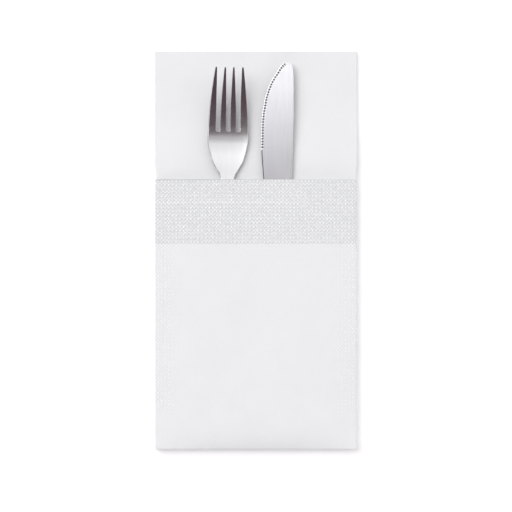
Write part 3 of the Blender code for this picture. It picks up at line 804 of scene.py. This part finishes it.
@dataclass
class TableFork:
    """A stamped table fork: four tines, a dished head, an arched neck and a widening handle."""

    napkin: PouchNapkin
    name: str = "table_fork"
    length: float = 0.200
    shows: float = 0.0664
    middle_x: float = -0.0170
    turn: float = math.radians(-0.7)
    roll: float = math.radians(4.0)
    thickness: float = 0.0021
    tip_thickness: float = 0.0012
    tip_run: float = 0.024
    rest_gap: float = 0.0003
    tine_length: float = 0.0369
    tine_root: float = 0.01190
    drawn_in: float = 0.18
    lean_power: float = 1.5
    taper_power: float = 1.7
    tip_half: float = 0.00045
    tip_rounding: float = 0.0009
    slot_half: float = 0.00117
    slot_spacing: float = 0.0061
    root_land: float = 0.0032
    head_half: float = 0.0122
    neck_at: float = 0.0665
    neck_half: float = 0.0041
    end_half: float = 0.0094
    end_rounding: float = 0.0075
    end_corner: float = 0.12
    dish: float = 0.0010
    dish_fade: float = 0.025
    side_places: tuple = (
        0.0, 0.010, 0.020, 0.0251, 0.0311, 0.0359, 0.0407, 0.0440,
        0.0467, 0.0503, 0.0538, 0.0574, 0.0646, 0.075, 0.088, 0.200,
    )
    side_rises: tuple = (
        0.00866, 0.00486, 0.00206, 0.00127, 0.00064, 0.00026, 0.00004, 0.0,
        0.00003, 0.00011, 0.00023, 0.000355, 0.00057, 0.00094, 0.00135, 0.0008,
    )
    rim: float = 0.00018
    rim_floor: float = 0.55
    tine_rim: float = 0.10
    root_crispness: float = 3.0

    def __post_init__(self) -> None:
        """Lowers the fork until it clears the paper at one place, and lists the grid's shares."""
        down = np.linspace(0, self.length, 800)
        leaning = self.half_width(np.maximum(down, self.tine_length)) * math.sin(self.roll)
        dish = np.maximum(self.dished(down), leaning / 1000)
        lowest = np.clip(leaning / (2 * dish), 0, 1)
        below = self.thickness / 2 + leaning * lowest - dish * lowest**2
        paper = self.napkin.floor_under(self.shows - down)
        self.bowl_z = np.max(paper + self.rest_gap + below - self.rise(down))
        above = (self.rise(down) + self.thickness / 2 + leaning)[down > self.shows]
        self.top = self.bowl_z + np.max(above)
        tine = np.array([0.45, 0.80, 0.86, 0.91, 0.955, 0.985, 1.0])
        self.tine_shares = np.concatenate((-tine[::-1], [0.0], tine))
        self.slot_shares = np.sin(half_turn(8))[1:-1]
        tines, slots = len(self.tine_shares), len(self.slot_shares)
        first = tines - 1 + (tines + slots) * np.arange(3)
        self.slot_sides = [(side, side + slots + 1) for side in first]

    def half_width(self, down: np.ndarray) -> np.ndarray:
        """Half of the width, from the roots of the tines to the end of the handle."""
        places = (self.tine_length, 0.0415, 0.0545, self.neck_at, 0.088, 0.140, 0.180, self.length)
        halves = (
            self.tine_root, self.head_half, 0.0096, self.neck_half, 0.0034, 0.0062,
            self.end_half, self.end_half,
        )
        return smooth_through(down, places, halves)

    def rise(self, down: np.ndarray) -> np.ndarray:
        """Rise over the bottom of the bowl: raised points, low bowl, arched neck, level handle."""
        return smooth_through(down, self.side_places, self.side_rises)

    def dished(self, down: np.ndarray) -> np.ndarray:
        """How far the sides stand over the middle: D (w / W)^2, faded out along the handle."""
        share = self.half_width(np.maximum(down, self.tine_length)) / self.head_half
        return self.dish * share**2 * ease((self.neck_at - down) / self.dish_fade + 1)

    def tine_lines(self, down: np.ndarray) -> np.ndarray:
        """Places the grid's lines over the tines and the slots between them.

        A tine's middle leans in by 1 - k s^a and its half width goes from the root's to the
        point's with s^b, where s is the share of the way from the root to the point.

        Args:
            down: Distances from the points.

        Returns:
            Lines by distances: offsets from the fork's middle line.
        """
        share = np.clip((self.tine_length - down) / self.tine_length, 0, 1)
        leaning = 1 - self.drawn_in * share**self.lean_power
        pointed = rounded(np.maximum(down / self.tip_rounding, 0.02))
        spans = (
            (self.slot_half, self.slot_spacing - self.slot_half),
            (self.slot_spacing + self.slot_half, self.tine_root),
        )
        tines = []
        for start, end in spans:
            root_half = (end - start) / 2
            half = root_half + (self.tip_half - root_half) * share**self.taper_power
            middle = (start + end) / 2 * leaning
            tines.append(middle + self.tine_shares[:, None] * half * pointed)
        inner, outer = tines
        middle, reach = (inner[-1] + outer[0]) / 2, (outer[0] - inner[-1]) / 2
        gap = middle + self.slot_shares[:, None] * reach
        centre = self.slot_shares[:, None] * inner[0]
        right = np.concatenate((inner, gap, outer))
        return np.concatenate((-right[::-1], centre, right))

    def grid(self) -> tuple[np.ndarray, np.ndarray, np.ndarray, np.ndarray]:
        """Lays out the flat fork.

        The roots of the slots are half circles, pushed into the rows beyond them, and so is the
        end of the handle but for its corners.

        Returns:
            Offsets, distances from the points, distances to the nearest edge, and the cells kept.
        """
        tip = self.tip_rounding * (1 - np.cos(np.linspace(0, math.pi / 2, 7)))
        rest = np.linspace(self.tip_rounding, self.tine_length, 62)[1:]
        tines = np.concatenate((tip, rest))
        root = len(tines) - 1
        land = self.root_land * np.array([0.015, 0.03, 0.05, 0.075, 0.11, 0.17, 0.26, 0.38, 0.55, 0.76, 1.0])
        head = np.linspace(self.tine_length + self.root_land, self.neck_at, 30)[1:]
        round_from = self.length - self.end_rounding
        handle = np.linspace(self.neck_at, round_from, 90)[1:]
        end = round_from + self.end_rounding * np.sin(np.linspace(0, math.pi / 2, 14)[1:])
        body = np.concatenate((self.tine_length + land, head, handle, end))
        down = np.concatenate((tines, body))
        over_tines = self.tine_lines(tines)
        share = over_tines[:, root] / over_tines[-1, root]
        offsets = np.concatenate((over_tines, share[:, None] * self.half_width(body)), axis=1)
        along = np.broadcast_to(down, offsets.shape).copy()
        fade = np.clip(1 - (down - self.tine_length) / self.root_land, 0, 1) * (down >= self.tine_length)
        keep = np.ones((offsets.shape[0] - 1, offsets.shape[1] - 1), bool)
        edge = np.maximum(self.half_width(along), offsets[-1]) - np.abs(offsets)
        for first, last in self.slot_sides:
            keep[first:last, :root] = False
            inside = slice(first + 1, last)
            push = self.slot_half * np.sqrt(1 - self.slot_shares**2)
            along[inside] += push[:, None] * fade
        for first, last in self.slot_sides:
            middle = (over_tines[first, root] + over_tines[last, root]) / 2
            beyond = np.hypot(offsets - middle, np.maximum(along - self.tine_length, 0))
            near_root = self.root_crispness * (beyond - self.slot_half)
            edge[:, root:] = np.minimum(edge[:, root:], near_root[:, root:])
        tines_at = np.array([0, 1, 2, 3]) * (self.slot_sides[1][0] - self.slot_sides[0][0])
        for start in tines_at:
            lines = slice(start, start + len(self.tine_shares))
            inside = self.rim / self.tine_rim * (1 - np.abs(self.tine_shares))[:, None]
            edge[lines, : root + 1] = np.minimum(inside, tines)
        bow = self.end_corner + (1 - self.end_corner) * np.sqrt(1 - share**2)
        late = along > round_from
        along = np.where(late, round_from + (along - round_from) * bow[:, None], along)
        edge = np.minimum(edge, along[:, -1:] - along)
        return offsets, along, np.maximum(edge, 0), keep

    def build(self, finish: CutlerySteel) -> bpy.types.Object:
        """Bends and dishes the flat fork, lays it down and dresses it.

        Args:
            finish: The steel.

        Returns:
            The fork's object.
        """
        offsets, along, edge, keep = self.grid()
        width = np.where(along < self.tine_length, self.tine_root, self.half_width(along))
        rise = self.rise(along) + self.dished(along) * (offsets / width) ** 2
        across = offsets * math.cos(self.roll) + rise * math.sin(self.roll)
        up = self.bowl_z + rise - offsets * math.sin(self.roll)
        ahead = self.shows - along
        x = self.middle_x + across * math.cos(self.turn) - ahead * math.sin(self.turn)
        y = self.napkin.mouth + across * math.sin(self.turn) + ahead * math.cos(self.turn)
        full = self.tip_thickness + (self.thickness - self.tip_thickness) * ease(along / self.tip_run)
        half = full / 2 * np.maximum(rounded(edge / self.rim), self.rim_floor)
        middle = np.stack((x, y, up), axis=2)[::-1]
        made = Wall(self.name, middle, half[::-1], half[::-1], keep[::-1]).build(sharp=62)
        made.data.materials.append(finish.make())
        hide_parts("fork")
        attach(made, "root")
        return made


@dataclass
class TableKnife:
    """A forged table knife: a wedge of a blade with ground teeth, a bolster and a solid handle."""

    napkin: PouchNapkin
    name: str = "table_knife"
    length: float = 0.210
    shows: float = 0.0701
    spine_x: float = 0.0226
    blade_length: float = 0.1075
    blade_width: float = 0.0194
    spine_thickness: float = 0.0016
    edge_thickness: float = 0.00045
    edge_rounding: float = 0.00025
    point_bow: float = 0.0003
    bolster_length: float = 0.012
    bolster_half: float = 0.0056
    handle_half: float = 0.0083
    handle_thickness: float = 0.0036
    handle_squareness: float = 2.6
    handle_rim: float = 0.28
    handle_middle: float = 0.45
    end_rounding: float = 0.0060
    end_run: float = 0.008
    end_thinning: float = 0.45
    end_corner: float = 0.12
    rest_gap: float = 0.0003
    teeth: int = 33
    cells_per_tooth: int = 12
    tooth_pitch: float = 0.001673
    teeth_from: float = -0.00018
    tooth_length: float = 0.00100
    tooth_middle: float = 0.00108
    tooth_shift: float = 0.00034
    tooth_reach: float = 0.00076
    tooth_depth: float = 0.00005
    bevel_share: float = 0.90
    bevel_width: float = 0.00042
    bevel_fade: float = 0.001
    spine_rounding: float = 0.0005
    spine_least: float = 0.2
    edge_least: float = 0.35
    edge_samples: int = 900
    outline: tuple = (
        (0.0039, 0.278, 0.0028, 0.131),
        (0.0112, 0.340, 0.0093, 0.085),
        (0.0222, 0.400, 0.0233, 0.044),
        (0.0567, 0.526, 0.0474, 0.021),
        (0.129, 0.753, 0.092, 0.005),
        (0.222, 0.907, 0.167, 0.000),
        (0.343, 0.990, 0.287, 0.002),
        (0.464, 1.000, 0.427, 0.022),
        (0.660, 0.935, 0.660, 0.058),
        (1.000, 0.794, 1.000, 0.103),
    )

    def __post_init__(self) -> None:
        """Works out where the knife rests and which rows its parts begin at."""
        self.middle_z = self.napkin.pocket_floor + self.rest_gap + self.handle_thickness / 2
        self.top = self.middle_z + self.handle_thickness / 2
        self.heel_row = len(self.outline) - 1
        self.rounding_row = self.heel_row + 4

    def stations(self) -> np.ndarray:
        """Lists cutting side and spine side as (down, across), from the point to the end."""
        scale = np.tile((self.blade_length, self.blade_width), 2)
        middle = self.handle_middle * self.blade_width
        bolster_end = self.blade_length + self.bolster_length
        widest = self.length - self.end_rounding - self.end_run
        halfway = (self.bolster_half + self.handle_half) / 2
        handle = [
            (down, middle + half, down, middle - half)
            for down, half in (
                (bolster_end, self.bolster_half),
                ((bolster_end + widest) / 2, halfway),
                (widest, self.handle_half),
                (self.length - self.end_rounding, self.handle_half),
            )
        ]
        return np.concatenate((np.array(self.outline) * scale, handle))

    def sides(self, rows: np.ndarray) -> list[np.ndarray]:
        """Reads the outline smoothly at the given rows, as four columns."""
        stations = self.stations()
        index = np.arange(len(stations))
        inside = np.minimum(rows, index[-1])
        return [smooth_through(inside, tuple(index), tuple(stations[:, k])) for k in range(4)]

    def rows(self) -> tuple[np.ndarray, np.ndarray]:
        """Spaces the rows evenly along the cutting edge, closely where it has teeth.

        Returns:
            The rows, and how far along the cutting edge each one is.
        """
        fine = np.linspace(0, self.heel_row, 4000)
        down, across, *_ = self.sides(fine)
        gone = np.concatenate(([0.0], np.cumsum(np.hypot(np.diff(down), np.diff(across)))))
        toothed = self.teeth_from + self.teeth * self.tooth_pitch
        close = np.arange(0, toothed, self.tooth_pitch / self.cells_per_tooth)
        wide = np.linspace(toothed, gone[-1], 44)
        blade = np.interp(np.concatenate((close, wide)), gone, fine)
        handle = np.concatenate((
            np.linspace(self.heel_row, self.heel_row + 1, 20)[1:],
            np.linspace(self.heel_row + 1, self.rounding_row, 50)[1:],
            self.rounding_row + np.sin(np.linspace(0, math.pi / 2, 13))[1:],
        ))
        rows = np.concatenate((blade, handle))
        return rows, np.concatenate((close, wide, np.full(len(handle), gone[-1])))

    def wall(self, rows: np.ndarray, share: np.ndarray, inset: np.ndarray) -> np.ndarray:
        """Thickness at each point: a wedge e + (s - e) d, and a bar with a superellipse crown.

        d is the distance from the cutting edge as a share of the blade's width.

        Args:
            rows: The grid's rows.
            share: The share of the way from the cutting side to the spine side.
            inset: How far each point is from the cutting edge.

        Returns:
            The full thickness at each point.
        """
        more = self.spine_thickness - self.edge_thickness
        blade = self.edge_thickness + more * np.clip(inset / self.blade_width, 0, 1)
        to_spine = rounded((1 - share) * self.blade_width / self.spine_rounding)
        to_edge = rounded(inset / self.edge_rounding)
        blade = blade * np.maximum(to_spine, self.spine_least)
        blade = blade * (self.edge_least + (1 - self.edge_least) * to_edge)
        power = self.handle_squareness
        crown = (1 - np.abs(2 * share - 1) ** power) ** (1 / power)
        handle = self.handle_thickness * (self.handle_rim + (1 - self.handle_rim) * crown)
        forged = ease(rows - self.heel_row)
        ending = np.clip(rows - self.rounding_row, 0, 1)
        return (blade * (1 - forged) + handle * forged) * (1 - self.end_thinning * ending**3)

    def beside_edge(
        self, down: np.ndarray, across: np.ndarray, rows: np.ndarray, gone: np.ndarray
    ) -> tuple[np.ndarray, np.ndarray]:
        """Finds the nearest point of the cutting edge for each point of the blade.

        Args:
            down: Distance from the knife's point, for each point.
            across: Distance from the spine, for each point.
            rows: The grid's rows.
            gone: How far along the cutting edge each row is.

        Returns:
            How far along the edge the nearest point is, and how far away.
        """
        blade = rows <= self.heel_row
        even = np.linspace(0, gone[-1], self.edge_samples)
        edge_down, edge_across, *_ = self.sides(np.interp(even, gone[blade], rows[blade]))
        apart = np.hypot(down[..., None] - edge_down, across[..., None] - edge_across)
        nearest = np.argmin(apart, axis=-1)
        return even[nearest], np.take_along_axis(apart, nearest[..., None], axis=-1)[..., 0]

    def grooves(self, gone: np.ndarray, inset: np.ndarray) -> np.ndarray:
        """How deep in a tooth each point is, from 0 to 1: (1 - p^6)(1 - q^6).

        p and q are the distances from the tooth's middle, along and across the edge, as shares
        of its reach each way. The teeth come closer to the edge away from the knife's point.

        Args:
            gone: How far along the cutting edge each point is.
            inset: How far each point is from the cutting edge.

        Returns:
            The share of the teeth's full depth at each point.
        """
        count = (gone - self.teeth_from) / self.tooth_pitch
        share = 2 * (count - np.floor(count) - 0.5) * self.tooth_pitch / self.tooth_length
        along = np.clip(1 - share**6, 0, 1) * ((count >= 0) & (count < self.teeth))
        middle = self.tooth_middle - self.tooth_shift * np.clip(count / self.teeth, 0, 1)
        aside = np.clip(1 - ((inset - middle) / self.tooth_reach) ** 6, 0, 1)
        return along * aside

    def bevel(self, gone: np.ndarray, inset: np.ndarray) -> np.ndarray:
        """How much darker and duller the ground strip beside the plain part of the cutting edge is: a
        painted dark reflection and a rougher finish.
        """
        beyond = ease((gone - self.teeth_from - self.teeth * self.tooth_pitch) / self.bevel_fade)
        return self.bevel_share * beyond * ease(2 - inset / self.bevel_width)

    def build(self, finish: CutlerySteel) -> bpy.types.Object:
        """Lays the knife down, grinds its teeth and dresses it.

        Args:
            finish: The steel.

        Returns:
            The knife's object.
        """
        rows, gone = self.rows()
        near = np.array([0.0, 0.005, 0.010, 0.016, 0.022, 0.032, 0.046, 0.060, 0.074, 0.084, 0.092, 0.11])
        far = np.array([
            0.125, 0.14, 0.155, 0.17, 0.19, 0.21, 0.24, 0.29, 0.4, 0.5, 0.6, 0.7, 0.8, 0.88, 0.93,
            0.962, 0.982, 0.994, 1.0,
        ])
        share = np.concatenate((near, far))[:, None]
        edge_down, edge_across, spine_down, spine_across = self.sides(rows)
        down = edge_down + (spine_down - edge_down) * share
        across = edge_across + (spine_across - edge_across) * share
        nearest, inset = self.beside_edge(down, across, rows, gone)
        bowed = 4 * share * (1 - share)
        down = down - self.point_bow * np.clip(1 - rows, 0, 1) * bowed
        bow = self.end_corner + (1 - self.end_corner) * np.sqrt(bowed)
        down = down + self.end_rounding * np.clip(rows - self.rounding_row, 0, 1) * bow
        x = self.spine_x - across
        y = self.napkin.mouth + self.shows - down
        half = self.wall(rows, share, inset) / 2
        grooves = self.grooves(nearest, inset)
        above = half - self.tooth_depth * grooves
        # share of the painted dark reflection: the teeth, and the ground strip beside the plain edge
        painted_dark_reflection = np.maximum(grooves, self.bevel(nearest, inset))
        middle = np.stack((x, y, np.full_like(x, self.middle_z)), axis=2)
        walls = above[:, ::-1], half[:, ::-1]
        made = Wall(self.name, middle[:, ::-1], *walls, marks={GROOVE_AND_REFLECTION: painted_dark_reflection[:, ::-1]}).build(sharp=50)
        made.data.materials.append(finish.make())
        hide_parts("knife")
        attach(made, "root")
        return made


@dataclass
class Studio:
    """White floor, a pale room with a bright and a dark panel overhead, and a soft key light."""

    floor_size: float = 6.0
    floor_z: float = -0.0002
    floor_glow: float = 0.14
    room: tuple = (0.76, 0.76, 0.77)
    right: tuple = (1.12, 1.12, 1.13)
    right_span: tuple = (0.30, 0.70)
    front: tuple = (1.35, 1.35, 1.36)
    front_span: tuple = (-0.70, -0.90)
    bright: tuple = (1.53, 1.53, 1.55)
    bright_span: tuple = (-0.06, 0.16, 0.20, 0.60)
    dark: tuple = (0.105, 0.071, 0.079)
    dark_span: tuple = (-0.82, -0.66, -0.03, 0.10)
    panel_sides: tuple = (0.85, 0.66)
    far_left: tuple = (-0.60, -0.98)
    key_place: tuple = (-2.05, 1.55, 3.38)
    key_size: float = 3.6
    key_power: float = 100.0
    camera_place: tuple = (0.00003, -0.00344, 1.0237)
    lens: float = 120.0

    def floor(self) -> bpy.types.Object:
        """Lays the floor, a plane that glows a little so that it stays white."""
        reach = self.floor_size / 2
        corners = [(-reach, -reach), (reach, -reach), (reach, reach), (-reach, reach)]
        mesh = bpy.data.meshes.new("studio_floor")
        mesh.from_pydata([(x, y, self.floor_z) for x, y in corners], [], [(0, 1, 2, 3)])
        made = placed("studio_floor", mesh)
        shader = Shader("studio_white")
        shader.constant("Base Color", (0.93, 0.93, 0.93, 1.0))
        shader.constant("Roughness", 1.0)
        shader.constant("Specular IOR Level", 0.0)
        shader.constant("Emission Color", (1.0, 1.0, 1.0, 1.0))
        shader.constant("Emission Strength", self.floor_glow)
        mesh.materials.append(shader.material)
        return made

    def sky(self) -> None:
        """Fills the room with light: two panels overhead, a bright right and front, a dark far left.

        With d the direction, a panel's share is ease(d.y over its near edge), ease(d.y over its
        far edge) and ease(|d.x| over its sides), multiplied. What the camera sees straight on is
        plain white.
        """
        world = bpy.data.worlds.new("studio")
        bpy.context.scene.world = world
        world.use_nodes = True
        sky = Nodes(world.node_tree, Space.DIRECTION)
        aside, behind, _ = sky.axes
        sides = sky.steps(sky.math("ABSOLUTE", aside), *self.panel_sides)
        colour = sky.blend(sky.steps(aside, *self.right_span), self.room, self.right)
        colour = sky.blend(sky.steps(behind, *self.front_span), colour, self.front)
        colour = sky.blend(sky.steps(aside, *self.far_left), colour, self.dark)
        panels = ((self.bright, self.bright_span), (self.dark, self.dark_span))
        for tint, (start, full, fading, end) in panels:
            share = sky.product(sky.steps(behind, start, full), sky.steps(behind, end, fading), sides)
            colour = sky.blend(share, colour, tint)
        lit = sky.node("Background", {"Color": colour}).outputs[0]
        seen = sky.node("Background", {"Color": (1.0, 1.0, 1.0, 1.0)}).outputs[0]
        straight = sky.node("LightPath", {}).outputs["Is Camera Ray"]
        choice = sky.node("MixShader", {"Fac": straight, 1: lit, 2: seen}).outputs[0]
        sky.tree.links.new(choice, sky.tree.nodes["World Output"].inputs["Surface"])

    def key(self) -> None:
        """Hangs the soft key light at the upper left, turned to the object."""
        light = bpy.data.lights.new("studio_key", "AREA")
        light.shape = "SQUARE"
        light.size = self.key_size
        light.energy = self.key_power
        made = placed("studio_key", light)
        made.location = self.key_place
        made.rotation_mode = "QUATERNION"
        made.rotation_quaternion = (-made.location).to_track_quat("-Z", "Y")

    def camera(self) -> None:
        """Sets the camera straight above the pouch, as in the photograph."""
        data = bpy.data.cameras.new("studio_camera")
        data.lens = self.lens
        data.sensor_width = 36.0
        data.clip_start = 0.05
        data.clip_end = 20.0
        made = placed("studio_camera", data)
        made.location = self.camera_place
        bpy.context.scene.camera = made

    def build(self) -> None:
        """Sets up the floor, the lights, the camera and the picture's plain colours."""
        self.floor()
        self.sky()
        self.key()
        self.camera()
        bpy.context.scene.view_settings.view_transform = "Standard"


def report(made: bpy.types.Object) -> None:
    """Logs a piece's name and how many faces it has."""
    LOG.info("%s: %d faces", made.name, len(made.data.polygons))


def main() -> None:
    """Builds the pouch, the cutlery and the studio, in order, and reports each piece."""
    logging.basicConfig(level=logging.INFO, format="%(name)s: %(message)s")
    napkin = PouchNapkin()
    fork, knife = TableFork(napkin), TableKnife(napkin)
    napkin.cover(fork.top, knife.top)
    report(napkin.build(TissuePaper()))
    report(fork.build(FORK_STEEL))
    report(knife.build(KNIFE_STEEL))
    LOG.info("swell %.2f mm, bowl %.2f mm", napkin.swell_height / MM, fork.bowl_z / MM)
    Studio().build()


if __name__ == "__main__":
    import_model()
    main()
